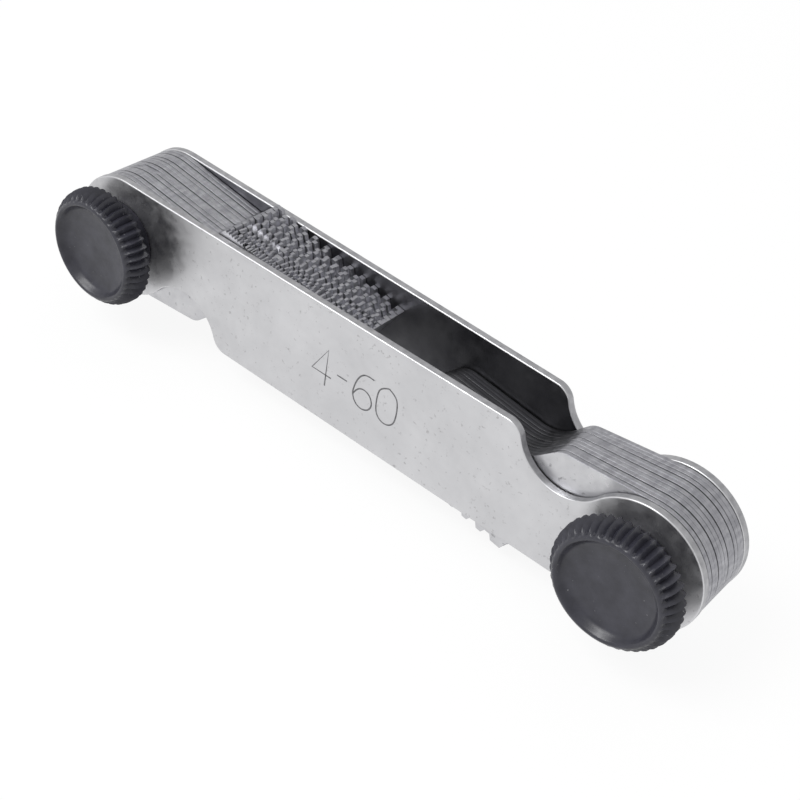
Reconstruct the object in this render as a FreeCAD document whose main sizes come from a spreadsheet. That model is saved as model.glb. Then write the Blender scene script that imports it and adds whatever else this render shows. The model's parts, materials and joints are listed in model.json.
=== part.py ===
import FreeCAD
import Part
import math
import os
import Sketcher

# Folding thread pitch gauge.  Two flat steel covers hold a pack of toothed blades at each end.
# Every blade turns on the screw of its own end, and a knurled nut on that screw clamps the pack.
# The left pack holds the fine threads and opens upwards; the right pack holds the coarse ones
# and is the same blank turned half round, so it opens downwards.
#
# Frame: X runs along the covers from the left screw to the right one, Y goes from the nuts
# through the pack to the rear cover, Z is up.  The origin is under the middle of the gauge as it
# stands on its long edge: the foremost coarse tooth touches Z = 0.

SIZES = {
    # covers
    "pivot_distance": 70,
    "cover_half_width": 7.2,
    "cover_thickness": 0.9,
    "notch_offset": 9.9,
    "notch_radius": 4.8,
    "notch_lip_radius": 1.25,
    "cover_hole_clearance": 0.1,
    # blade blanks, measured from the pivot with the teeth upwards and the blade folded
    "blade_thickness": 0.52,
    "blade_gap": 0.1,
    "blade_hole_clearance": 0.05,
    "tang_radius": 6.6,
    "step_x": 12.2,
    "step_height": 5.7,
    "step_fillet": 0.8,
    "edge_start_x": 14.6,
    "fine_edge_start_height": 8.0,
    "coarse_edge_start_height": 9.8,
    "edge_end_x": 33.8,
    "edge_drop": 3.4,
    "tip_x": 27.6,
    "tip_depth": 6.0,
    "tip_fillet": 1.6,
    "neck_x": 13.6,
    "neck_depth": 2.7,
    "neck_fillet": 2.4,
    "thumb_x": 11.7,
    "thumb_fillet": 1.4,
    "fine_fan_angle": 1.5,
    "coarse_fan_angle": 4,
    # teeth, as shares of the pitch
    "inch": 25.4,
    "tooth_depth_share": 0.58,
    "tooth_root_share": 0.08,
    "tooth_flank_angle": 27.5,
    # screws
    "shank_radius": 2,
    "head_radius": 3.7,
    "head_height": 1,
    "head_chamfer": 0.3,
    "head_seat": 0.02,
    "slot_width": 0.8,
    "slot_depth": 0.5,
    # knurled nuts
    "nut_seat": 0.03,
    "hub_radius": 4.4,
    "hub_height": 2.0,
    "nut_radius": 6.9,
    "head_thickness": 3.2,
    "nut_front_chamfer": 0.55,
    "nut_rear_chamfer": 0.3,
    "rim_width": 0.55,
    "dish_depth": 0.95,
    "dish_wall": 0.75,
    "dish_hollow": 0.25,
    "bore_depth": 3.3,
    "bore_clearance": 0.05,
    "bore_end_gap": 0.3,
    "knurl_count": 44,
    "knurl_depth": 0.42,
    "knurl_land": 0.12,
}

# Threads per inch of the blades, from the front cover to the rear one.
FINE_BLADES = ["60", "48", "40", "36", "32", "30", "28", "26", "24", "22", "20", "18", "16", "14"]
COARSE_BLADES = ["13", "12", "11", "10", "9", "8", "7", "6", "5", "4.5", "4"]

# Lengths that follow from the sizes, as FreeCAD expressions.
BLADE_PITCH = "(sizes.blade_thickness + sizes.blade_gap)"
LEFT_PACK = f"({len(FINE_BLADES)} * {BLADE_PITCH} + sizes.blade_gap)"
RIGHT_PACK = f"({len(COARSE_BLADES)} * {BLADE_PITCH} + sizes.blade_gap)"
WEDGE_ANGLE = f"atan(({LEFT_PACK} - {RIGHT_PACK}) / sizes.pivot_distance)"
HEAD_GAP = f"(sizes.head_radius * tan({WEDGE_ANGLE}) + sizes.head_seat)"
NUT_REACH = "(sizes.nut_seat + sizes.hub_height + sizes.head_thickness)"
REAR_REACH = f"(2 * sizes.cover_thickness + {LEFT_PACK} + {HEAD_GAP} + sizes.head_height)"
FRONT_Y = f"(({NUT_REACH} - {REAR_REACH}) / 2)"
INNER_Y = f"({FRONT_Y} + sizes.cover_thickness)"
# A coarse blade that is fanned out reaches lowest with the first corner of its toothed edge.
PIVOT_Z = ("(sizes.edge_start_x * sin(sizes.coarse_fan_angle)"
           " + sizes.coarse_edge_start_height * cos(sizes.coarse_fan_angle))")
# Distance from the pivot to the near side of a pack at each end.
ENDS = {
    "left": {"x": "(-sizes.pivot_distance / 2)", "pack": LEFT_PACK},
    "right": {"x": "(sizes.pivot_distance / 2)", "pack": RIGHT_PACK},
}

doc = FreeCAD.newDocument("thread_pitch_gauge")
sheet = doc.addObject("Spreadsheet::Sheet", "sizes")


def add_size(alias, value):
    row = sheet.getUsedRange()[1]
    row = 1 if not sheet.getContents("A1") else int(row[1:]) + 1
    sheet.set(f"A{row}", alias)
    sheet.set(f"B{row}", str(value))
    sheet.setAlias(f"B{row}", alias)


for size_name, size_value in SIZES.items():
    add_size(size_name, size_value)
for thread in FINE_BLADES + COARSE_BLADES:
    add_size("threads_" + thread.replace(".", "_"), thread)
doc.recompute()

NODES = []


def new_body(label, placement):
    body = doc.addObject("PartDesign::Body", label)
    body.Label = label
    body.setExpression("Placement", placement)
    NODES.append(body)
    return body


def origin_part(body, role):
    return next(part for part in body.Origin.OriginFeatures if part.Role == role)


def new_sketch(body, name, plane, offset=None):
    sketch = body.newObject("Sketcher::SketchObject", f"{body.Label}_{name}")
    sketch.AttachmentSupport = [(origin_part(body, plane), "")]
    sketch.MapMode = "FlatFace"
    if offset:
        sketch.setExpression("AttachmentOffset", offset)
    return sketch


def pad(body, sketch, length):
    feature = body.newObject("PartDesign::Pad", f"{sketch.Name}_pad")
    feature.Profile = sketch
    feature.setExpression("Length", length)
    feature.Reversed = True
    return feature


def pocket_through(body, sketch):
    feature = body.newObject("PartDesign::Pocket", f"{sketch.Name}_cut")
    feature.Profile = sketch
    feature.Type = "ThroughAll"
    feature.Midplane = True
    return feature


def polar(body, feature, axis, count):
    pattern = body.newObject("PartDesign::PolarPattern", f"{feature.Name}_round")
    pattern.Originals = [feature]
    pattern.Axis = (origin_part(body, axis), [""])
    pattern.Angle = 360
    pattern.setExpression("Occurrences", count)
    body.Tip = pattern
    return pattern


def bind(sketch, number, expression):
    sketch.setExpression(f"Constraints[{number}]", expression)


def vector(x, y):
    return FreeCAD.Vector(x, y, 0)


# Sketcher's names for the ends of an edge, and its own origin point.
START, END, CENTRE = 1, 2, 3
ORIGIN = (-1, 1)


def place_point(sketch, edge, end, x, y, x_expression, y_expression):
    """Hold a point at a distance from the sketch's origin."""
    number = sketch.addConstraint(Sketcher.Constraint("DistanceX", *ORIGIN, edge, end, x))
    bind(sketch, number, x_expression)
    number = sketch.addConstraint(Sketcher.Constraint("DistanceY", *ORIGIN, edge, end, y))
    bind(sketch, number, y_expression)


def hole_sketch(body, name, plane, centre_x, centre_expression, radius, radius_expression):
    sketch = new_sketch(body, name, plane)
    axis = vector(0, 0) + FreeCAD.Vector(0, 0, 1)
    circle = sketch.addGeometry(Part.Circle(vector(centre_x, 0), axis, radius))
    number = sketch.addConstraint(Sketcher.Constraint("Radius", circle, radius))
    bind(sketch, number, radius_expression)
    place_point(sketch, circle, CENTRE, centre_x, 0, centre_expression, "0")
    return sketch


# ---------------------------------------------------------------------------------------------
# Covers: stamped from flat strip with full round ends.  A thumb notch is cut into the upper
# edge at the right end and into the lower edge at the left end; its arc runs smoothly into the
# round end.  Both covers are the same blank.
# ---------------------------------------------------------------------------------------------
def cover_blank(body):
    half = SIZES["pivot_distance"] / 2
    width = SIZES["cover_half_width"]
    sketch = new_sketch(body, "strip", "XZ_Plane")
    top = sketch.addGeometry(Part.LineSegment(vector(-half, width), vector(half, width)))
    bottom = sketch.addGeometry(Part.LineSegment(vector(half, -width), vector(-half, -width)))
    ends = []
    for side, start in ((1, -math.pi / 2), (-1, math.pi / 2)):
        circle = Part.Circle(vector(side * half, 0), FreeCAD.Vector(0, 0, 1), width)
        ends.append(sketch.addGeometry(Part.ArcOfCircle(circle, start, start + math.pi)))
    right, left = ends
    joints = ((top, END, right, END), (right, START, bottom, START),
              (bottom, END, left, END), (left, START, top, START))
    for joint in joints:
        sketch.addConstraint(Sketcher.Constraint("Tangent", *joint))
    number = sketch.addConstraint(Sketcher.Constraint("Radius", right, width))
    bind(sketch, number, "sizes.cover_half_width")
    place_point(sketch, right, CENTRE, half, 0, "sizes.pivot_distance / 2", "0")
    place_point(sketch, left, CENTRE, -half, 0, "-sizes.pivot_distance / 2", "0")
    return pad(body, sketch, "sizes.cover_thickness")


def thumb_notch(body):
    half = SIZES["pivot_distance"] / 2
    width = SIZES["cover_half_width"]
    notch = SIZES["notch_radius"]
    lip = SIZES["notch_lip_radius"]
    clear = 1
    # The notch arc touches the round end from outside, and the lip arc touches the notch arc.
    notch_x = half - SIZES["notch_offset"]
    notch_y = math.sqrt((width + notch) ** 2 - SIZES["notch_offset"] ** 2)
    lip_y = width - lip
    lip_x = notch_x - math.sqrt((notch + lip) ** 2 - (notch_y - lip_y) ** 2)
    meet = math.atan2(notch_y, notch_x - half)
    leave = math.atan2(notch_y - lip_y, notch_x - lip_x)
    up = FreeCAD.Vector(0, 0, 1)
    sketch = new_sketch(body, "notch", "XZ_Plane")
    end_arc = sketch.addGeometry(Part.ArcOfCircle(
        Part.Circle(vector(half, 0), up, width), math.pi / 2, meet))
    notch_arc = sketch.addGeometry(Part.ArcOfCircle(
        Part.Circle(vector(notch_x, notch_y), up, notch), leave + math.pi, meet + math.pi))
    lip_arc = sketch.addGeometry(Part.ArcOfCircle(
        Part.Circle(vector(lip_x, lip_y), up, lip), leave, math.pi / 2))
    corners = (vector(lip_x, width), vector(lip_x, width + clear),
               vector(half, width + clear), vector(half, width))
    rise, across, fall = [sketch.addGeometry(Part.LineSegment(a, b))
                          for a, b in zip(corners, corners[1:])]
    number = sketch.addConstraint(Sketcher.Constraint("Radius", end_arc, width))
    bind(sketch, number, "sizes.cover_half_width")
    place_point(sketch, end_arc, CENTRE, half, 0, "sizes.pivot_distance / 2", "0")
    number = sketch.addConstraint(Sketcher.Constraint("Radius", notch_arc, notch))
    bind(sketch, number, "sizes.notch_radius")
    number = sketch.addConstraint(Sketcher.Constraint("Radius", lip_arc, lip))
    bind(sketch, number, "sizes.notch_lip_radius")
    number = sketch.addConstraint(Sketcher.Constraint(
        "DistanceX", notch_arc, CENTRE, end_arc, CENTRE, half - notch_x))
    bind(sketch, number, "sizes.notch_offset")
    sketch.addConstraint(Sketcher.Constraint("Tangent", end_arc, END, notch_arc, END))
    sketch.addConstraint(Sketcher.Constraint("Tangent", notch_arc, START, lip_arc, START))
    sketch.addConstraint(Sketcher.Constraint("Vertical", lip_arc, CENTRE, lip_arc, END))
    sketch.addConstraint(Sketcher.Constraint("Vertical", end_arc, CENTRE, end_arc, START))
    number = sketch.addConstraint(Sketcher.Constraint(
        "DistanceY", *ORIGIN, lip_arc, END, width))
    bind(sketch, number, "sizes.cover_half_width")
    sketch.addConstraint(Sketcher.Constraint("Coincident", lip_arc, END, rise, START))
    sketch.addConstraint(Sketcher.Constraint("Coincident", rise, END, across, START))
    sketch.addConstraint(Sketcher.Constraint("Coincident", across, END, fall, START))
    sketch.addConstraint(Sketcher.Constraint("Coincident", fall, END, end_arc, START))
    sketch.addConstraint(Sketcher.Constraint("Vertical", rise))
    sketch.addConstraint(Sketcher.Constraint("Horizontal", across))
    sketch.addConstraint(Sketcher.Constraint("Vertical", fall))
    sketch.addConstraint(Sketcher.Constraint("DistanceY", rise, START, rise, END, clear))
    return polar(body, pocket_through(body, sketch), "Y_Axis", "2")


def make_cover(label, y, turn):
    body = new_body(label, f"placement(vector(0; {y}; {PIVOT_Z}); {turn})")
    cover_blank(body)
    thumb_notch(body)
    half = SIZES["pivot_distance"] / 2
    radius = SIZES["shank_radius"] + SIZES["cover_hole_clearance"]
    sketch = hole_sketch(body, "screw_hole", "XZ_Plane", half, "sizes.pivot_distance / 2",
                         radius, "sizes.shank_radius + sizes.cover_hole_clearance")
    polar(body, pocket_through(body, sketch), "Y_Axis", "2")
    return body


make_cover("front_cover", FRONT_Y, "rotationz(0)")
# The left pack is the thicker one, so the rear cover leans towards the front one at the right.
make_cover("rear_cover", f"({INNER_Y} + ({LEFT_PACK} + {RIGHT_PACK}) / 2)",
           f"rotationz(-{WEDGE_ANGLE})")


# ---------------------------------------------------------------------------------------------
# Blades: one blank for all, with a round tang, a step up to the toothed edge, an oblique tip, a
# slim neck and a thumb rest that fills the notch of the covers.  Only the height of the toothed
# edge and the pitch of its teeth differ.
# ---------------------------------------------------------------------------------------------
def blade_corners(kind):
    """The blank's corners, counter-clockwise from the thumb rest: x, y and fillet, as names.

    A leading minus turns the size over.  The toothed edge drops towards the tip."""
    height = f"{kind}_edge_start_height"
    return [
        (("thumb_x",), ("-tang_radius",), "thumb_fillet"),
        (("neck_x",), ("-neck_depth",), "neck_fillet"),
        (("tip_x",), ("-tip_depth",), "tip_fillet"),
        (("edge_end_x",), (height, "-edge_drop"), None),
        (("edge_start_x",), (height,), None),
        (("step_x",), ("step_height",), "step_fillet"),
    ]


def total(names):
    """The number and the expression for a sum of named sizes."""
    value = 0
    for name in names:
        value += -SIZES[name[1:]] if name.startswith("-") else SIZES[name]
    expression = " + ".join(f"(-sizes.{name[1:]})" if name.startswith("-") else f"sizes.{name}"
                            for name in names)
    return value, expression


def tangent_point(centre_radius, corner, side):
    """Where a line from a corner touches the tang's circle round the pivot."""
    reach = math.hypot(corner.x, corner.y)
    angle = math.atan2(corner.y, corner.x) + side * math.acos(centre_radius / reach)
    return vector(centre_radius * math.cos(angle), centre_radius * math.sin(angle))


def rounded(before, corner, after, radius):
    """The two tangent points and the arc that round off a corner."""
    to_before = (before - corner).normalize()
    to_after = (after - corner).normalize()
    half_angle = to_before.getAngle(to_after) / 2
    setback = radius / math.tan(half_angle)
    first = corner + to_before * setback
    last = corner + to_after * setback
    inward = (to_before + to_after).normalize()
    middle = corner + inward * (radius / math.sin(half_angle) - radius)
    return first, middle, last


def blade_blank(body, kind):
    sketch = new_sketch(body, "blank", "XZ_Plane")
    corners = []
    for x_names, y_names, fillet in blade_corners(kind):
        x, x_expression = total(x_names)
        y, y_expression = total(y_names)
        corners.append((vector(x, y), x_expression, y_expression, fillet))
    tang = SIZES["tang_radius"]
    points = [corner[0] for corner in corners]
    # From below, the thumb rest's line may touch the tang's circle at the circle's lowest point.
    bottom = tangent_point(tang, points[0], -1)
    top = tangent_point(tang, points[-1], 1)
    path = [bottom] + points + [top]

    lines = []
    arcs = []
    start = bottom
    for index, (corner, _, _, fillet) in enumerate(corners, start=1):
        if fillet:
            first, middle, last = rounded(path[index - 1], corner, path[index + 1], SIZES[fillet])
        else:
            first = middle = last = corner
        lines.append(sketch.addGeometry(Part.LineSegment(start, first)))
        arcs.append(sketch.addGeometry(Part.Arc(first, middle, last)) if fillet else None)
        start = last
    lines.append(sketch.addGeometry(Part.LineSegment(start, top)))
    tang_arc = sketch.addGeometry(Part.Arc(top, vector(-tang, 0), bottom))

    for index, (corner, x_expression, y_expression, fillet) in enumerate(corners):
        before, arc, after = lines[index], arcs[index], lines[index + 1]
        if fillet:
            mark = sketch.addGeometry(Part.Point(corner), True)
            sketch.addConstraint(Sketcher.Constraint("PointOnObject", mark, START, before))
            sketch.addConstraint(Sketcher.Constraint("PointOnObject", mark, START, after))
            place_point(sketch, mark, START, corner.x, corner.y, x_expression, y_expression)
            arc_start = sketch.getPoint(arc, START)
            near, far = (START, END)
            if arc_start.distanceToPoint(sketch.getPoint(before, END)) > SIZES["step_fillet"] / 100:
                near, far = (END, START)
            sketch.addConstraint(Sketcher.Constraint("Tangent", before, END, arc, near))
            sketch.addConstraint(Sketcher.Constraint("Tangent", arc, far, after, START))
            number = sketch.addConstraint(Sketcher.Constraint("Radius", arc, SIZES[fillet]))
            bind(sketch, number, f"sizes.{fillet}")
        else:
            sketch.addConstraint(Sketcher.Constraint("Coincident", before, END, after, START))
            place_point(sketch, before, END, corner.x, corner.y, x_expression, y_expression)
    number = sketch.addConstraint(Sketcher.Constraint("Radius", tang_arc, tang))
    bind(sketch, number, "sizes.tang_radius")
    sketch.addConstraint(Sketcher.Constraint("Coincident", tang_arc, CENTRE, *ORIGIN))
    sketch.addConstraint(Sketcher.Constraint("Tangent", lines[-1], END, tang_arc, START))
    sketch.addConstraint(Sketcher.Constraint("Tangent", lines[0], START, tang_arc, END))
    return pad(body, sketch, "sizes.blade_thickness")


def blade_teeth(body, kind, thread):
    """Cut one V groove at the start of the toothed edge and repeat it along the edge."""
    height = f"sizes.{kind}_edge_start_height"
    threads = "sizes.threads_" + thread.replace(".", "_")
    pitch = f"(sizes.inch / {threads})"
    run = "(sizes.edge_end_x - sizes.edge_start_x)"
    length = f"sqrt({run} ^ 2 + sizes.edge_drop ^ 2)"
    count = f"floor({length} / {pitch})"
    margin = f"(({length} - {count} * {pitch}) / 2)"
    sketch = new_sketch(body, "groove", "XZ_Plane",
                        f"placement(vector(sizes.edge_start_x; {height}; 0);"
                        f" rotationz(atan2(-sizes.edge_drop; {run})))")
    pitch_value = SIZES["inch"] / float(thread)
    length_value = math.hypot(SIZES["edge_end_x"] - SIZES["edge_start_x"], SIZES["edge_drop"])
    count_value = math.floor(length_value / pitch_value)
    middle = (length_value - (count_value - 1) * pitch_value) / 2
    depth = SIZES["tooth_depth_share"] * pitch_value
    root = SIZES["tooth_root_share"] * pitch_value / 2
    over = 0.1
    slope = math.tan(math.radians(SIZES["tooth_flank_angle"]))
    mouth = root + (depth + over) * slope
    corners = [vector(middle - mouth, over), vector(middle - root, -depth),
               vector(middle + root, -depth), vector(middle + mouth, over)]
    flank, floor, rise, lid = [sketch.addGeometry(Part.LineSegment(a, b))
                               for a, b in zip(corners, corners[1:] + corners[:1])]
    for before, after in ((flank, floor), (floor, rise), (rise, lid), (lid, flank)):
        sketch.addConstraint(Sketcher.Constraint("Coincident", before, END, after, START))
    sketch.addConstraint(Sketcher.Constraint("Horizontal", lid))
    half_floor = f"sizes.tooth_root_share * {pitch} / 2"
    half_mouth = (f"({half_floor} + (sizes.tooth_depth_share * {pitch} + {over})"
                  " * tan(sizes.tooth_flank_angle))")
    centre = f"({margin} + {pitch} / 2)"
    place_point(sketch, flank, START, middle - mouth, over, f"{centre} - {half_mouth}", str(over))
    place_point(sketch, flank, END, middle - root, -depth,
                f"{centre} - {half_floor}", f"-sizes.tooth_depth_share * {pitch}")
    place_point(sketch, floor, END, middle + root, -depth,
                f"{centre} + {half_floor}", f"-sizes.tooth_depth_share * {pitch}")
    number = sketch.addConstraint(Sketcher.Constraint(
        "DistanceX", *ORIGIN, rise, END, middle + mouth))
    bind(sketch, number, f"{centre} + {half_mouth}")
    groove = pocket_through(body, sketch)
    pattern = body.newObject("PartDesign::LinearPattern", f"{sketch.Name}_row")
    pattern.Originals = [groove]
    pattern.Direction = (sketch, ["H_Axis"])
    pattern.setExpression("Occurrences", count)
    pattern.setExpression("Length", f"({count} - 1) * {pitch}")
    body.Tip = pattern
    return pattern


def make_blade(kind, end, thread, index, count):
    """Lean each blade with its share of the wedge and fan it a little, so none crosses the next."""
    label = f"blade_{thread.replace('.', '_')}_tpi"
    lean = f"({WEDGE_ANGLE} * {index + 0.5} / {count})"
    fan = f"(sizes.{kind}_fan_angle * {index} / {count - 1})"
    turn = fan if end == "left" else f"(180 + {fan})"
    body = new_body(label, f"placement(vector({ENDS[end]['x']};"
                           f" {INNER_Y} + sizes.blade_gap + {index} * {BLADE_PITCH};"
                           f" {PIVOT_Z}); rotationz(-{lean}) * rotationy(-{turn}))")
    blade_blank(body, kind)
    radius = SIZES["shank_radius"] + SIZES["blade_hole_clearance"]
    sketch = hole_sketch(body, "pivot_hole", "XZ_Plane", 0, "0", radius,
                         "sizes.shank_radius + sizes.blade_hole_clearance")
    pocket_through(body, sketch)
    blade_teeth(body, kind, thread)
    return body


for blade_index, thread in enumerate(FINE_BLADES):
    make_blade("fine", "left", thread, blade_index, len(FINE_BLADES))
for blade_index, thread in enumerate(COARSE_BLADES):
    make_blade("coarse", "right", thread, blade_index, len(COARSE_BLADES))


# ---------------------------------------------------------------------------------------------
# Turned parts: a profile of named radii and depths, revolved about the screw's own axis.  The
# profile is drawn in the plane of the axis, x outwards from it and y along it.
# ---------------------------------------------------------------------------------------------
def turned(body, name, profile):
    """Revolve a closed profile; each corner is (radius, depth) as lists of named sizes."""
    sketch = new_sketch(body, name, "XY_Plane")
    corners = []
    for x_names, y_names in profile:
        x, x_expression = total(x_names)
        y, y_expression = total(y_names)
        corners.append((vector(x, y), x_expression or "0", y_expression or "0"))
    points = [corner[0] for corner in corners]
    lines = [sketch.addGeometry(Part.LineSegment(a, b))
             for a, b in zip(points, points[1:] + points[:1])]
    for index, line in enumerate(lines):
        after = lines[(index + 1) % len(lines)]
        sketch.addConstraint(Sketcher.Constraint("Coincident", line, END, after, START))
        point, x_expression, y_expression = corners[index]
        place_point(sketch, line, START, point.x, point.y, x_expression, y_expression)
    feature = body.newObject("PartDesign::Revolution", f"{sketch.Name}_turned")
    feature.Profile = sketch
    feature.ReferenceAxis = (origin_part(body, "Y_Axis"), [""])
    feature.Angle = 360
    return feature


# Screws: a low slotted head lies on the rear cover, and the plain shank carries the blades and
# ends inside the nut.
for end, place in ENDS.items():
    head_y = f"({INNER_Y} + {place['pack']} + sizes.cover_thickness + {HEAD_GAP})"
    screw = new_body(f"{end}_screw",
                     f"placement(vector({place['x']}; {head_y}; {PIVOT_Z}); rotationz(0))")
    head = turned(screw, "head", [
        ((), ()),
        (("head_radius",), ()),
        (("head_radius",), ("head_height", "-head_chamfer")),
        (("head_radius", "-head_chamfer"), ("head_height",)),
        ((), ("head_height",)),
    ])
    shank = hole_sketch(screw, "shank", "XZ_Plane", 0, "0", SIZES["shank_radius"],
                        "sizes.shank_radius")
    rod = screw.newObject("PartDesign::Pad", f"{shank.Name}_pad")
    rod.Profile = shank
    rod.setExpression("Length", f"{head_y} - {FRONT_Y} + sizes.nut_seat"
                                " + sizes.bore_depth - sizes.bore_end_gap")
    slot = new_sketch(screw, "slot", "XY_Plane")
    half_slot = SIZES["slot_width"] / 2
    slot_top = SIZES["head_height"]
    slot_floor = slot_top - SIZES["slot_depth"]
    corners = [vector(-half_slot, slot_floor), vector(half_slot, slot_floor),
               vector(half_slot, slot_top), vector(-half_slot, slot_top)]
    sides = [slot.addGeometry(Part.LineSegment(a, b))
             for a, b in zip(corners, corners[1:] + corners[:1])]
    for index, side in enumerate(sides):
        slot.addConstraint(Sketcher.Constraint("Coincident", side, END, sides[index - 3], START))
    for index, signs in enumerate((("-", "floor"), ("", "floor"), ("", "top"), ("-", "top"))):
        sign, level = signs
        depth = "sizes.head_height - sizes.slot_depth" if level == "floor" else "sizes.head_height"
        place_point(slot, sides[index], START, corners[index].x, corners[index].y,
                    f"{sign}sizes.slot_width / 2", depth)
    pocket_through(screw, slot)


# Knurled nuts: a hub stands on the front cover and carries a wide head with a chamfered rim, a
# dished face and V grooves all round.  The bore is blind, so the face stays closed.
def make_nut(label, x):
    body = new_body(label, f"placement(vector({x}; {FRONT_Y} - sizes.nut_seat; {PIVOT_Z});"
                           " rotationz(0))")
    face = ("-hub_height", "-head_thickness")
    turned(body, "profile", [
        ((), ()),
        (("hub_radius",), ()),
        (("hub_radius",), ("-hub_height",)),
        (("nut_radius", "-nut_rear_chamfer"), ("-hub_height",)),
        (("nut_radius",), ("-hub_height", "-nut_rear_chamfer")),
        (("nut_radius",), face + ("nut_front_chamfer",)),
        (("nut_radius", "-nut_front_chamfer"), face),
        (("nut_radius", "-nut_front_chamfer", "-rim_width"), face),
        (("nut_radius", "-nut_front_chamfer", "-rim_width", "-dish_wall"), face + ("dish_depth",)),
        ((), face + ("dish_depth", "dish_hollow")),
    ])
    bore = hole_sketch(body, "bore", "XZ_Plane", 0, "0",
                       SIZES["shank_radius"] + SIZES["bore_clearance"],
                       "sizes.shank_radius + sizes.bore_clearance")
    drill = body.newObject("PartDesign::Pocket", f"{bore.Name}_cut")
    drill.Profile = bore
    drill.Reversed = True
    drill.setExpression("Length", "sizes.bore_depth")

    knurl = new_sketch(body, "knurl", "XZ_Plane",
                       "placement(vector(0; 0; sizes.hub_height); rotationz(0))")
    radius = SIZES["nut_radius"]
    depth = SIZES["knurl_depth"]
    over = 0.2
    step = math.pi * radius / SIZES["knurl_count"]
    half_mouth = (step - SIZES["knurl_land"] / 2) * (depth + over) / depth
    corners = [vector(half_mouth, radius + over), vector(-half_mouth, radius + over),
               vector(0, radius - depth)]
    sides = [knurl.addGeometry(Part.LineSegment(a, b))
             for a, b in zip(corners, corners[1:] + corners[:1])]
    for index, side in enumerate(sides):
        knurl.addConstraint(Sketcher.Constraint("Coincident", side, END, sides[index - 2], START))
    mouth = ("(pi * sizes.nut_radius / sizes.knurl_count - sizes.knurl_land / 2)"
             f" * (sizes.knurl_depth + {over}) / sizes.knurl_depth")
    level = f"sizes.nut_radius + {over}"
    place_point(knurl, sides[0], START, half_mouth, radius + over, mouth, level)
    place_point(knurl, sides[1], START, -half_mouth, radius + over, f"-({mouth})", level)
    place_point(knurl, sides[2], START, 0, radius - depth, "0",
                "sizes.nut_radius - sizes.knurl_depth")
    groove = pocket_through(body, knurl)
    return polar(body, groove, "Y_Axis", "sizes.knurl_count")


for end, place in ENDS.items():
    make_nut(f"{end}_nut", place["x"])

doc.recompute()

# ---------------------------------------------------------------------------------------------
# Write one STEP file for each piece, after checking that every feature and shape is sound.
# ---------------------------------------------------------------------------------------------
for item in doc.Objects:
    if {"Invalid", "Error"} & set(item.State):
        raise RuntimeError(f"{item.Label} failed: {item.State}")
os.makedirs("parts", exist_ok=True)
for body in NODES:
    shape = body.Shape
    if shape.isNull() or not shape.isValid() or len(shape.Solids) != 1:
        raise RuntimeError(f"{body.Label} has no sound solid")
    shape.exportStep(os.path.join("parts", f"{body.Label}.step"))
    box = shape.BoundBox
    print(f"{body.Label:20s} volume {shape.Volume:9.3f}  faces {len(shape.Faces):4d}"
          f"  x {box.XMin:8.3f} {box.XMax:8.3f}  y {box.YMin:7.3f} {box.YMax:7.3f}"
          f"  z {box.ZMin:7.3f} {box.ZMax:7.3f}")
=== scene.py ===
import bmesh
import bpy
import json
import math
from mathutils import Matrix, Vector


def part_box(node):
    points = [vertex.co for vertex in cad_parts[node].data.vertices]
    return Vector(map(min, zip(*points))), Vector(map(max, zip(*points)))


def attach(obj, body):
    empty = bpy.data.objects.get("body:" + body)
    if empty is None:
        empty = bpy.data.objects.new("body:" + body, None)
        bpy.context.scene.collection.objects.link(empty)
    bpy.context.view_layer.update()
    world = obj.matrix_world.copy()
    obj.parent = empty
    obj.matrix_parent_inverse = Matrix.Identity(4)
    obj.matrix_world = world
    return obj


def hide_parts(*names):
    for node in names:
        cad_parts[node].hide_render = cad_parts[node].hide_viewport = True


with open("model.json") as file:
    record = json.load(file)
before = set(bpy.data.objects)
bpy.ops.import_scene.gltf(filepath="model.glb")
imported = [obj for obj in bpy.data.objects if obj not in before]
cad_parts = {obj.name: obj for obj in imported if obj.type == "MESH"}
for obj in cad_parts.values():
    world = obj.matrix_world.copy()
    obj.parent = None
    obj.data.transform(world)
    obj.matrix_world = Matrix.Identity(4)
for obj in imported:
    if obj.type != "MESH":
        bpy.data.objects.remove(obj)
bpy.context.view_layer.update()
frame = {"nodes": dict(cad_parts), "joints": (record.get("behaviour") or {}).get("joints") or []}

MM = 0.001

# -------------------------------------------------------------------------------------------
# Covers: two flat strips of steel, blanked with round ends and a thumb notch at each end, then
# tumbled, so that the corners of their edges are soft and bright and the faces satin and
# lightly pitted.  They lie outside the packs and are held by the two screws.
# -------------------------------------------------------------------------------------------
near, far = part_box("front_cover")
HALF_WIDTH = (far.z - near.z) / 2
THICKNESS = far.y - near.y
PIVOT_X = far.x - HALF_WIDTH
PIVOT_Z = (far.z + near.z) / 2
FRONT_Y = near.y
NOTCH_OFFSET = 9.8 * MM
NOTCH_RADIUS = 5.2 * MM
LIP_RADIUS = 2.0 * MM
SCREW_RADIUS = 2.0 * MM
COVER_HOLE = SCREW_RADIUS + 0.1 * MM
COVER_CORNER = 0.15 * MM
# How far along Y a normal points on a flat face and, at most, on a wall; and the angle above
# which an edge looks sharp.
FLAT = 0.99
WALL = 0.3
SHARP = math.radians(34)


def arc(x, z, radius, start, end, steps):
    """Points round a centre, from one angle to another."""
    angles = [start + (end - start) * i / steps for i in range(steps + 1)]
    return [(x + radius * math.cos(a), z + radius * math.sin(a)) for a in angles]


def link(name, mesh, place=None):
    """Turn a finished bmesh into an object whose place is in its mesh."""
    if place:
        bmesh.ops.transform(mesh, matrix=place, verts=mesh.verts[:])
    data = bpy.data.meshes.new(name)
    mesh.to_mesh(data)
    mesh.free()
    piece = bpy.data.objects.new(name, data)
    bpy.context.scene.collection.objects.link(piece)
    return piece


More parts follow.
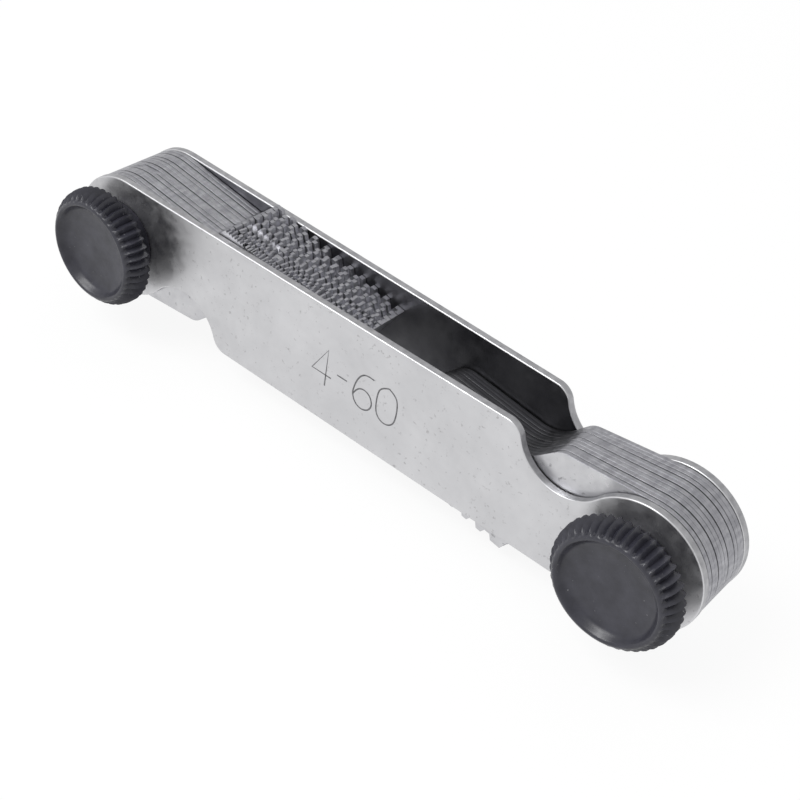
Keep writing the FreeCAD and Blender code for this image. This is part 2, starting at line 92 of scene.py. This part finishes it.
def plate(rings, thickness, corner, is_sharp=lambda x, z: False):
    """A flat plate in the XZ plane: outline first, then holes, with the rims rounded."""
    mesh = bmesh.new()
    for ring in rings:
        points = [mesh.verts.new((x, 0, z)) for x, z in ring]
        for first, last in zip(points, points[1:] + points[:1]):
            mesh.edges.new((first, last))
    bmesh.ops.triangle_fill(mesh, use_beauty=True, edges=mesh.edges[:], normal=(0, -1, 0))
    bmesh.ops.dissolve_limit(mesh, angle_limit=0.01, verts=mesh.verts[:], edges=mesh.edges[:])
    grown = bmesh.ops.extrude_face_region(mesh, geom=mesh.faces[:])["geom"]
    rear = [item for item in grown if isinstance(item, bmesh.types.BMVert)]
    bmesh.ops.translate(mesh, verts=rear, vec=(0, thickness, 0))
    bmesh.ops.recalc_face_normals(mesh, faces=mesh.faces[:])
    rim = []
    for edge in mesh.edges:
        flats = sum(abs(face.normal.y) > FLAT for face in edge.link_faces)
        middle = (edge.verts[0].co + edge.verts[1].co) / 2
        if flats == 1 and not is_sharp(middle.x, middle.z):
            rim.append(edge)
    bmesh.ops.bevel(mesh, geom=rim, offset=corner, segments=3, profile=0.5, affect="EDGES",
                    material=-1, clamp_overlap=False)
    for face in mesh.faces:
        face.smooth = abs(face.normal.y) < FLAT
    for edge in mesh.edges:
        edge.smooth = edge.calc_face_angle(0) < SHARP
    return mesh


def cover_outline():
    """One end with its notch, then the same turned half round."""
    notch_x = PIVOT_X - NOTCH_OFFSET
    notch_z = math.sqrt((HALF_WIDTH + NOTCH_RADIUS) ** 2 - NOTCH_OFFSET ** 2)
    lip_z = HALF_WIDTH - LIP_RADIUS
    lip_x = notch_x - math.sqrt((NOTCH_RADIUS + LIP_RADIUS) ** 2 - (notch_z - lip_z) ** 2)
    meet = math.atan2(notch_z, notch_x - PIVOT_X)
    leave = math.atan2(notch_z - lip_z, notch_x - lip_x)
    # The notch is hollow, so its arc runs the other way round from the end's and the lip's.
    end = arc(PIVOT_X, 0, HALF_WIDTH, -math.pi / 2, meet, 48)
    notch = arc(notch_x, notch_z, NOTCH_RADIUS, meet + math.pi, leave + math.pi, 24)
    lip = arc(lip_x, lip_z, LIP_RADIUS, leave, math.pi / 2, 12)
    half = end + notch[1:] + lip[1:]
    return half + [(-x, -z) for x, z in half]


class Socket:
    """A shader output that can be multiplied and compared."""

    def __init__(self, nodes, link):
        self.nodes = nodes
        self.link = link

    def maths(self, operation, *others):
        values = [self] + list(others)
        return self.nodes.add("ShaderNodeMath", {"operation": operation},
                              **{f"_{i}": v for i, v in enumerate(values)})

    def __mul__(self, other):
        return self.maths("MULTIPLY", other)

    __rmul__ = __mul__


class Finish:
    """A material made of nodes, with its principled shader."""

    def __init__(self, name, colour, **plain):
        self.material = bpy.data.materials.new(name)
        self.material.use_nodes = True
        self.tree = self.material.node_tree
        self.shader = self.tree.nodes["Principled BSDF"]
        self.shader.inputs["Base Color"].default_value = (*colour, 1)
        for socket, value in plain.items():
            self.shader.inputs[socket.title()].default_value = value

    def add(self, kind, settings=None, out=0, **sockets):
        node = self.tree.nodes.new(kind)
        for setting, value in (settings or {}).items():
            setattr(node, setting, value)
        for name, value in sockets.items():
            socket = node.inputs[int(name[1:])] if name[0] == "_" else node.inputs[name]
            if isinstance(value, Socket):
                self.tree.links.new(value.link, socket)
            else:
                socket.default_value = value
        return Socket(self, node.outputs[out])

    def feed(self, socket, value):
        self.tree.links.new(value.link, self.shader.inputs[socket])

    def speckle(self, size, detail=2.0, stretch=(1, 1, 1)):
        """Noise on the object's own coordinates, with spots of about this size."""
        here = self.add("ShaderNodeTexCoord", out=3)
        place = self.add("ShaderNodeVectorMath", {"operation": "MULTIPLY"}, _0=here, _1=stretch)
        return self.add("ShaderNodeTexNoise", Vector=place, Scale=1 / size, Detail=detail)

    def between(self, amount, low, high, start=0.3, end=0.7):
        """Turn a value between start and end into one between low and high."""
        return self.add("ShaderNodeMapRange", _0=amount, _1=start, _2=end, _3=low, _4=high)

    def tint(self, amount, first, second):
        return self.add("ShaderNodeMix", {"data_type": "RGBA"}, out=2, _0=amount,
                        _6=first if isinstance(first, Socket) else (*first, 1), _7=(*second, 1))

    def roughen(self, height, strength, distance):
        self.feed("Normal", self.add("ShaderNodeBump", Height=height, Strength=strength,
                                     Distance=distance))

    def on(self, piece, is_here=None):
        """Put the finish on a whole piece, or on those of its faces that answer a test."""
        if is_here:
            for face in piece.data.polygons:
                if is_here(face.normal):
                    face.material_index = len(piece.data.materials)
        else:
            piece.data.materials.clear()
        piece.data.materials.append(self.material)


satin = Finish("satin_steel", (0.6, 0.6, 0.62), metallic=1.0, roughness=0.38)
clouds = satin.between(satin.speckle(5 * MM, 5), 0, 1)
pits = satin.between(satin.speckle(0.5 * MM, 3), 0, 1, 0.64, 0.74)
steel = satin.tint(clouds, (0.59, 0.59, 0.605), (0.66, 0.66, 0.675))
satin.feed("Base Color", satin.tint(pits, steel, (0.46, 0.455, 0.465)))
satin.feed("Roughness", satin.between(satin.speckle(1.2 * MM, 5), 0.34, 0.5))
satin.roughen(satin.speckle(0.16 * MM, 4), 0.35, 0.02 * MM)


# The sheared rims are a shade darker than the faces.
sheared = Finish("sheared_rim", (0.42, 0.42, 0.435), metallic=1.0, roughness=0.45)
sheared.feed("Base Color", sheared.tint(sheared.between(sheared.speckle(0.7 * MM, 4), 0, 1),
                                        (0.36, 0.36, 0.375), (0.5, 0.5, 0.515)))
sheared.roughen(sheared.speckle(0.12 * MM, 4), 0.4, 0.02 * MM)
# The inner faces are painted dark, in blotches: painted shade for the dark inside of the case
# that they face.
inner_shade = Finish("inner_face_painted_shade", (0.13, 0.13, 0.14), metallic=1.0, roughness=0.4)
inner_shade_blotches = inner_shade.between(inner_shade.speckle(4 * MM, 4), 0, 1)
inner_shade.feed("Base Color", inner_shade.tint(inner_shade_blotches, (0.085, 0.085, 0.095), (0.17, 0.17, 0.18)))
inner_shade.feed("Roughness", inner_shade.between(inner_shade.speckle(1.2 * MM, 5), 0.34, 0.5))
inner_shade.roughen(inner_shade.speckle(0.16 * MM, 4), 0.35, 0.02 * MM)


def round_hole(x, radius):
    return arc(x, 0, radius, 0, 2 * math.pi, 48)[:-1]


cover_rings = [cover_outline(), round_hole(PIVOT_X, COVER_HOLE), round_hole(-PIVOT_X, COVER_HOLE)]
near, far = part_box("rear_cover")
# The rear cover leans with the packs, which are unequal.
LEAN = math.asin((far.y - near.y - THICKNESS) / (far.x - near.x))
REAR_Y = (near.y + far.y - THICKNESS) / 2
cover_places = {
    "front_cover": Matrix.Translation((0, FRONT_Y, PIVOT_Z)),
    "rear_cover": Matrix.Translation((0, REAR_Y, PIVOT_Z)) @ Matrix.Rotation(-LEAN, 4, "Z"),
}
for node, place in cover_places.items():
    cover = link(node + "_plate", plate(cover_rings, THICKNESS, COVER_CORNER), place)
    satin.on(cover)
    inwards = 1 if node == "front_cover" else -1
    # Painted shade on the covers' inner faces.
    inner_shade.on(cover, lambda normal: normal.y * inwards > FLAT)
    sheared.on(cover, lambda normal: abs(normal.y) < WALL)
    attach(cover, "case")
    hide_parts(node)


# -------------------------------------------------------------------------------------------
# Range mark: the coarsest and the finest thread of the set, stamped lightly in the front cover
# with plain single-stroke figures.  The grooves are darker than the face.
# -------------------------------------------------------------------------------------------
FIGURE_HEIGHT = 4.7 * MM
FIGURE_WIDTH = 2.7 * MM
FIGURE_STEP = 3.15 * MM
DASH_STEP = 0.82 * FIGURE_STEP
MARK_START = -5.75 * MM
MARK_DROP = 0.2 * MM
GROOVE = 0.1 * MM
GROOVE_FLATNESS = 0.12
# Strokes as shares of the figure's width and height; those of many points are curves.
strokes = {
    "4": [[(0.72, 0.0), (0.72, 1.0), (0.0, 0.3), (1.0, 0.3)]],
    "-": [[(0.1, 0.5), (0.62, 0.5)]],
    "6": [[(0.93, 0.97), (0.6, 1.0), (0.3, 0.9), (0.1, 0.68), (0.0, 0.4), (0.0, 0.27),
           (0.16, 0.08), (0.5, 0.0), (0.84, 0.08), (1.0, 0.28), (0.84, 0.5), (0.5, 0.58),
           (0.16, 0.48), (0.0, 0.27)]],
    "0": [[(0.5, 1.0), (0.16, 0.92), (0.0, 0.72), (0.0, 0.28), (0.16, 0.08), (0.5, 0.0),
           (0.84, 0.08), (1.0, 0.28), (1.0, 0.72), (0.84, 0.92), (0.5, 1.0)]],
}
stamped = Finish("stamped_steel", (0.16, 0.16, 0.17), metallic=1.0, roughness=0.55)
stamped.feed("Base Color", stamped.tint(stamped.between(stamped.speckle(0.4 * MM, 3), 0, 1),
                                        (0.12, 0.12, 0.125), (0.26, 0.26, 0.27)))
mark = bpy.data.curves.new("range_mark", "CURVE")
mark.dimensions = "3D"
mark.bevel_depth = GROOVE
mark.bevel_resolution = 1
mark.resolution_u = 4
pen = MARK_START
for figure in "4-60":
    for stroke in strokes[figure]:
        round_figure = len(stroke) > 4
        line = mark.splines.new("NURBS" if round_figure else "POLY")
        line.points.add(len(stroke) - 1)
        for point, (x, z) in zip(line.points, stroke):
            point.co = (pen + x * FIGURE_WIDTH, 0, (z - 0.5) * FIGURE_HEIGHT, 1)
        if round_figure:
            line.order_u = 3
            line.use_endpoint_u = True
    pen += DASH_STEP if figure == "-" else FIGURE_STEP
pattern = bpy.data.objects.new("range_mark_line", mark)
drawn = bmesh.new()
drawn.from_mesh(bpy.data.meshes.new_from_object(pattern))
bpy.data.objects.remove(pattern)
bmesh.ops.scale(drawn, vec=(1, GROOVE_FLATNESS, 1), verts=drawn.verts[:])
bmesh.ops.recalc_face_normals(drawn, faces=drawn.faces[:])
range_mark = link("range_mark", drawn, Matrix.Translation((0, FRONT_Y, PIVOT_Z - MARK_DROP)))
stamped.on(range_mark)
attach(range_mark, "case")


# -------------------------------------------------------------------------------------------
# Leaves: ground strip half a millimetre thick, all blanked alike with a round tang, a step up
# to the toothed edge, a round tip, a slim neck and a thumb rest.  The teeth are milled to each
# leaf's own pitch.  They turn on the screws, fine threads at the left and coarse at the right.
# -------------------------------------------------------------------------------------------
INCH = 25.4 * MM
LEAF_THICKNESS = 0.52 * MM
LEAF_HOLE = SCREW_RADIUS + 0.05 * MM
LEAF_CORNER = 0.035 * MM
# The leaves don't lie quite evenly: each is shifted a little, by the sine of its number times
# this step.
LEAF_SHIFT = 0.042 * MM
SHIFT_STEP = 2.4
# Corners of the blank from the pivot, teeth upwards: x, z and the radius that rounds them.
TANG = 7.12 * MM
THUMB, NECK, TIP, STEP = (10.9, -6.3, 2.3), (14.6, -2.9, 4.6), (27.4, -5.2, 2.6), (12.2, 5.7, 0.8)
EDGE_START, EDGE_END, EDGE_DROP = 14.6 * MM, 33.8 * MM, 3.4 * MM
# Teeth, as shares of the pitch: depth, half the root's width and half the mouth's.
TOOTH_DEPTH = 0.58
TOOTH_ROOT = 0.04
TOOTH_MOUTH = TOOTH_ROOT + TOOTH_DEPTH * math.tan(math.radians(27.5))
TOOTH_ZONE = 0.6
FINE = ["60", "48", "40", "36", "32", "30", "28", "26", "24", "22", "20", "18", "16", "14"]
COARSE = ["13", "12", "11", "10", "9", "8", "7", "6", "5", "4_5", "4"]


def tangent_angle(corner, side):
    """The angle at which a line from a corner touches the tang."""
    return math.atan2(corner.y, corner.x) + side * math.acos(TANG / corner.length)


def round_off(before, corner, after, radius):
    """The arc that rounds off a corner."""
    back = (before - corner).normalized()
    ahead = (after - corner).normalized()
    half = back.angle(ahead) / 2
    centre = corner + (back + ahead).normalized() * (radius / math.sin(half))
    first = corner + back * (radius / math.tan(half)) - centre
    last = corner + ahead * (radius / math.tan(half)) - centre
    start = math.atan2(first.y, first.x)
    sweep = math.atan2(first.x * last.y - first.y * last.x, first.dot(last))
    return arc(centre.x, centre.y, radius, start, start + sweep, 10)


def tooth_row(height, threads):
    """Points of the V grooves along the toothed edge, from the tip end to the tang end."""
    start = Vector((EDGE_START, height))
    along = Vector((EDGE_END - EDGE_START, -EDGE_DROP))
    length = along.length
    along.normalize()
    up = Vector((-along.y, along.x))
    pitch = INCH / threads
    count = math.floor(length / pitch)
    margin = (length - count * pitch) / 2
    points = []
    for tooth in range(count):
        middle = margin + (tooth + 0.5) * pitch
        for reach, depth in ((-TOOTH_MOUTH, 0), (-TOOTH_ROOT, -TOOTH_DEPTH),
                             (TOOTH_ROOT, -TOOTH_DEPTH), (TOOTH_MOUTH, 0)):
            points.append(start + along * (middle + reach * pitch) + up * depth * pitch)
    return [(point.x, point.y) for point in reversed(points)]


def leaf_outline(height, threads):
    corners = [(Vector((x, z)) * MM, radius * MM) for x, z, radius in (THUMB, NECK, TIP, STEP)]
    step = corners.pop()
    edge_end = Vector((EDGE_END, height - EDGE_DROP))
    edge_start = Vector((EDGE_START, height))
    bottom = tangent_angle(corners[0][0], -1)
    top = tangent_angle(step[0], 1)
    on_tang = [Vector((math.cos(a), math.sin(a))) * TANG for a in (bottom, top)]
    path = [on_tang[0]] + [corner for corner, _ in corners] + [edge_end]
    points = []
    for index, (corner, radius) in enumerate(corners, start=1):
        points += round_off(path[index - 1], corner, path[index + 1], radius)
    points += [tuple(edge_end)] + tooth_row(height, threads) + [tuple(edge_start)]
    points += round_off(edge_start, step[0], on_tang[1], step[1])
    return points + arc(0, 0, TANG, top, bottom + 2 * math.pi, 40)


ground = Finish("ground_steel", (0.55, 0.55, 0.57), metallic=1.0, roughness=0.33)
dull = ground.between(ground.speckle(2.5 * MM, 4), 0, 1)
stains = ground.between(ground.speckle(0.7 * MM, 3), 0, 1, 0.62, 0.75)
leaf_steel = ground.tint(dull, (0.52, 0.52, 0.54), (0.63, 0.63, 0.645))
ground.feed("Base Color", ground.tint(stains, leaf_steel, (0.28, 0.28, 0.29)))
ground.feed("Roughness", ground.between(ground.speckle(0.8 * MM, 4), 0.26, 0.44))
ground.roughen(ground.speckle(0.12 * MM, 3, (0.2, 1, 1)), 0.3, 0.02 * MM)

# Blanked edges are rougher and darker than the ground faces.  Inside the case they are also
# painted
# near black: painted shade where the case hides them.
edge_finish_and_shade = Finish("blanked_edge_and_case_shade", (0.36, 0.36, 0.39), metallic=1.0, roughness=0.42)
streaks = edge_finish_and_shade.between(edge_finish_and_shade.speckle(0.5 * MM, 4, (1, 0.3, 1)), 0, 1)
edge_steel = edge_finish_and_shade.tint(streaks, (0.3, 0.3, 0.325), (0.44, 0.44, 0.465))
where = edge_finish_and_shade.add("ShaderNodeSeparateXYZ", _0=edge_finish_and_shade.add("ShaderNodeTexCoord", out=3))
height = Socket(edge_finish_and_shade, where.link.node.outputs[2])
# Painted shade: edges from the middle to about 2 cm to the right and higher than 1 cm are painted
# near black.
case_shade = (edge_finish_and_shade.between(where, 1, 0, 0.02, 0.024) * edge_finish_and_shade.between(where, 0, 1, 0.0, 0.002)
          * edge_finish_and_shade.between(height, 0, 1, 0.008, 0.01))
edge_finish_and_shade.feed("Base Color", edge_finish_and_shade.tint(case_shade, edge_steel, (0.09, 0.09, 0.095)))
edge_finish_and_shade.feed("Roughness", edge_finish_and_shade.between(edge_finish_and_shade.speckle(0.6 * MM, 4), 0.34, 0.52))
edge_finish_and_shade.roughen(edge_finish_and_shade.speckle(0.1 * MM, 3, (1, 0.2, 1)), 0.4, 0.02 * MM)

# Each pack's threads, side, height of the toothed edge, and the angles at which its first and
# last leaves are fanned.
packs = (("fine", FINE, -1, 8.0 * MM, 0.0, 0.0), ("coarse", COARSE, 1, 9.55 * MM, -0.3, 4.6))
for kind, threads, side, height, first_fan, last_fan in packs:
    for index, thread in enumerate(threads):
        node = f"blade_{thread}_tpi"
        pivot = next(j for j in frame["joints"] if j["name"] == node + "_pivot")
        lean = math.atan2(-pivot["axis"][0], -pivot["axis"][1])
        per_inch = float(thread.replace("_", "."))
        fan = first_fan + (last_fan - first_fan) * index / (len(threads) - 1)
        turn = math.radians(fan + (180 if side > 0 else 0))
        shift = LEAF_SHIFT * math.sin(SHIFT_STEP * index * side)
        place = (Matrix.Translation(pivot["pos_m"]) @ Matrix.Rotation(-lean, 4, "Z")
                 @ Matrix.Rotation(-turn, 4, "Y")
                 @ Matrix.Translation((0, shift - LEAF_THICKNESS / 2, 0)))
        toothed = TOOTH_ZONE * INCH / per_inch

        def in_teeth(x, z):
            share = (x - EDGE_START) / (EDGE_END - EDGE_START)
            return 0 < share < 1 and z > height - share * EDGE_DROP - toothed

        rings = [leaf_outline(height, per_inch), round_hole(0, LEAF_HOLE)]
        leaf = link(f"leaf_{thread}", plate(rings, LEAF_THICKNESS, LEAF_CORNER, in_teeth), place)
        ground.on(leaf)
        across = Vector((math.sin(lean), math.cos(lean), 0))
        # The edges get the blanked finish, with its painted shade inside the case.
        edge_finish_and_shade.on(leaf, lambda normal: abs(normal.dot(across)) < FLAT)
        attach(leaf, f"{kind}_blade_{thread}")
        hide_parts(node)


# -------------------------------------------------------------------------------------------
# Screws: turned steel with a low slotted head behind the rear cover and a plain shank that
# carries the leaves.
# -------------------------------------------------------------------------------------------
turned = Finish("turned_steel", (0.42, 0.42, 0.44), metallic=1.0, roughness=0.35)
turned.feed("Base Color", turned.tint(turned.between(turned.speckle(0.8 * MM, 4), 0, 1),
                                      (0.36, 0.36, 0.38), (0.48, 0.48, 0.5)))
turned.roughen(turned.speckle(0.1 * MM, 3), 0.3, 0.02 * MM)
for node in ("left_screw", "right_screw"):
    turned.on(frame["nodes"][node])


# -------------------------------------------------------------------------------------------
# Nuts: turned steel, straight knurled and blackened.  A hub stands on the front cover; the wide
# head has a rounded front rim, where the knurl runs out, a narrow ridge and a dished face.
# -------------------------------------------------------------------------------------------
KNURLS = 44
KNURL_STEPS = 6
KNURL_DEPTH = 0.62 * MM
NUT_RADIUS = 6.9 * MM
# The grooves run out over the first part of the rim's rounding.
KNURL_ROOM = 0.9 * MM
KNURL_FADE = 0.36 * MM
NUT_SEAT = 0.03 * MM
# Radius and height over the hub's seat, from the bottom of the blind bore to the dish.
NUT_PROFILE = [
    (0, 3.3), (2.05, 3.3), (2.05, 0.15), (2.2, 0), (4.3, 0), (4.4, 0.1), (4.4, 2.0), (6.2, 2.0),
    (6.55, 2.1), (6.8, 2.35), (6.9, 2.7), (6.9, 3.2), (6.86, 3.65), (6.74, 4.1), (6.5, 4.5),
    (6.2, 4.84), (5.95, 5.06), (5.75, 5.18), (5.6, 5.2), (5.48, 5.14), (5.36, 4.98), (5.2, 4.7),
    (5.0, 4.42), (4.75, 4.24), (4.4, 4.14), (3.2, 4.0), (1.6, 3.92), (0, 3.9),
]
black = Finish("black_oxide", (0.028, 0.028, 0.036), metallic=0.0, roughness=0.34)
worn = black.between(black.speckle(1.6 * MM, 4), 0, 1)
specks = black.between(black.speckle(0.3 * MM, 2), 0, 1, 0.72, 0.8)
oxide = black.tint(worn, (0.018, 0.018, 0.026), (0.034, 0.034, 0.046))
black.feed("Base Color", black.tint(specks, oxide, (0.22, 0.22, 0.23)))
black.feed("Roughness", black.between(black.speckle(0.9 * MM, 4), 0.28, 0.42))
black.roughen(black.speckle(0.2 * MM, 3), 0.22, 0.03 * MM)


def knurled_nut(x):
    mesh = bmesh.new()
    points = [mesh.verts.new((radius * MM, -height * MM, 0)) for radius, height in NUT_PROFILE]
    for first, last in zip(points, points[1:]):
        mesh.edges.new((first, last))
    bmesh.ops.spin(mesh, geom=mesh.verts[:] + mesh.edges[:], cent=(0, 0, 0), axis=(0, 1, 0),
                   angle=2 * math.pi, steps=KNURLS * KNURL_STEPS, use_merge=True)
    bmesh.ops.remove_doubles(mesh, verts=mesh.verts[:], dist=0.001 * MM)
    for vertex in mesh.verts:
        radius = math.hypot(vertex.co.x, vertex.co.z)
        if radius > NUT_RADIUS - KNURL_ROOM:
            share = math.atan2(vertex.co.z, vertex.co.x) * KNURLS / (2 * math.pi) % 1
            groove = 1 - abs(2 * share - 1)
            fade = min(1, (radius - NUT_RADIUS + KNURL_ROOM) / KNURL_FADE)
            shrink = (radius - KNURL_DEPTH * groove * fade) / radius
            vertex.co.x *= shrink
            vertex.co.z *= shrink
    bmesh.ops.recalc_face_normals(mesh, faces=mesh.faces[:])
    for face in mesh.faces:
        middle = face.calc_center_median()
        face.smooth = math.hypot(middle.x, middle.z) < NUT_RADIUS - KNURL_ROOM
    return mesh, Matrix.Translation((x, FRONT_Y - NUT_SEAT, PIVOT_Z))


for side, x in (("left", -PIVOT_X), ("right", PIVOT_X)):
    nut = link(f"{side}_thumb_nut", *knurled_nut(x))
    black.on(nut)
    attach(nut, f"{side}_nut_body")
    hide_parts(f"{side}_nut")


# -------------------------------------------------------------------------------------------
# Studio: a white floor that looks white from everywhere and still takes a soft shadow, an even
# sky, one large lamp and the camera.
# -------------------------------------------------------------------------------------------
white = Finish("white_floor", (0.9, 0.9, 0.9), roughness=0.7)
paths = "ShaderNodeLightPath"
bare = white.add("ShaderNodeEmission", Color=(1, 1, 1, 1), Strength=1.0)
seen = white.add(paths, out=0).maths("MAXIMUM", white.add(paths, out=3))
surface = Socket(white, white.shader.outputs[0])
blend = white.add("ShaderNodeMixShader", _0=seen * 0.9, _1=surface, _2=bare)
white.tree.links.new(blend.link, white.tree.nodes["Material Output"].inputs["Surface"])
floor_mesh = bmesh.new()
bmesh.ops.create_grid(floor_mesh, x_segments=1, y_segments=1, size=1.5)
floor = link("floor", floor_mesh)
white.on(floor)

world = bpy.data.worlds.new("studio")
world.use_nodes = True
bpy.context.scene.world = world
sky = world.node_tree.nodes["Background"]
sky.inputs["Color"].default_value = (1, 1, 1, 1)
sky.inputs["Strength"].default_value = 0.75

key = bpy.data.lights.new("key", "AREA")
key.size = 0.35
key.energy = 3.0
lamp = bpy.data.objects.new("key", key)
lamp.location = (-0.25, -0.35, 0.55)
lamp.rotation_euler = (-lamp.location).to_track_quat("-Z", "Y").to_euler()
bpy.context.scene.collection.objects.link(lamp)

camera_data = bpy.data.cameras.new("camera")
camera = bpy.data.objects.new("camera", camera_data)
across = Vector((0.760413, 0.635460, 0.134028))
down = Vector((0.486180, -0.420174, -0.766213))
away = Vector((-0.430582, 0.647800, -0.628453))
turn = Matrix((across, -down, -away)).transposed()
camera.matrix_world = Matrix.Translation(Vector((67.956, -96.479, 102.913)) * MM) @ turn.to_4x4()
camera_data.sensor_width = 36
camera_data.lens = 64.2
camera_data.clip_start = 0.005
bpy.context.scene.collection.objects.link(camera)
bpy.context.scene.camera = camera
bpy.context.scene.view_settings.view_transform = "Standard"
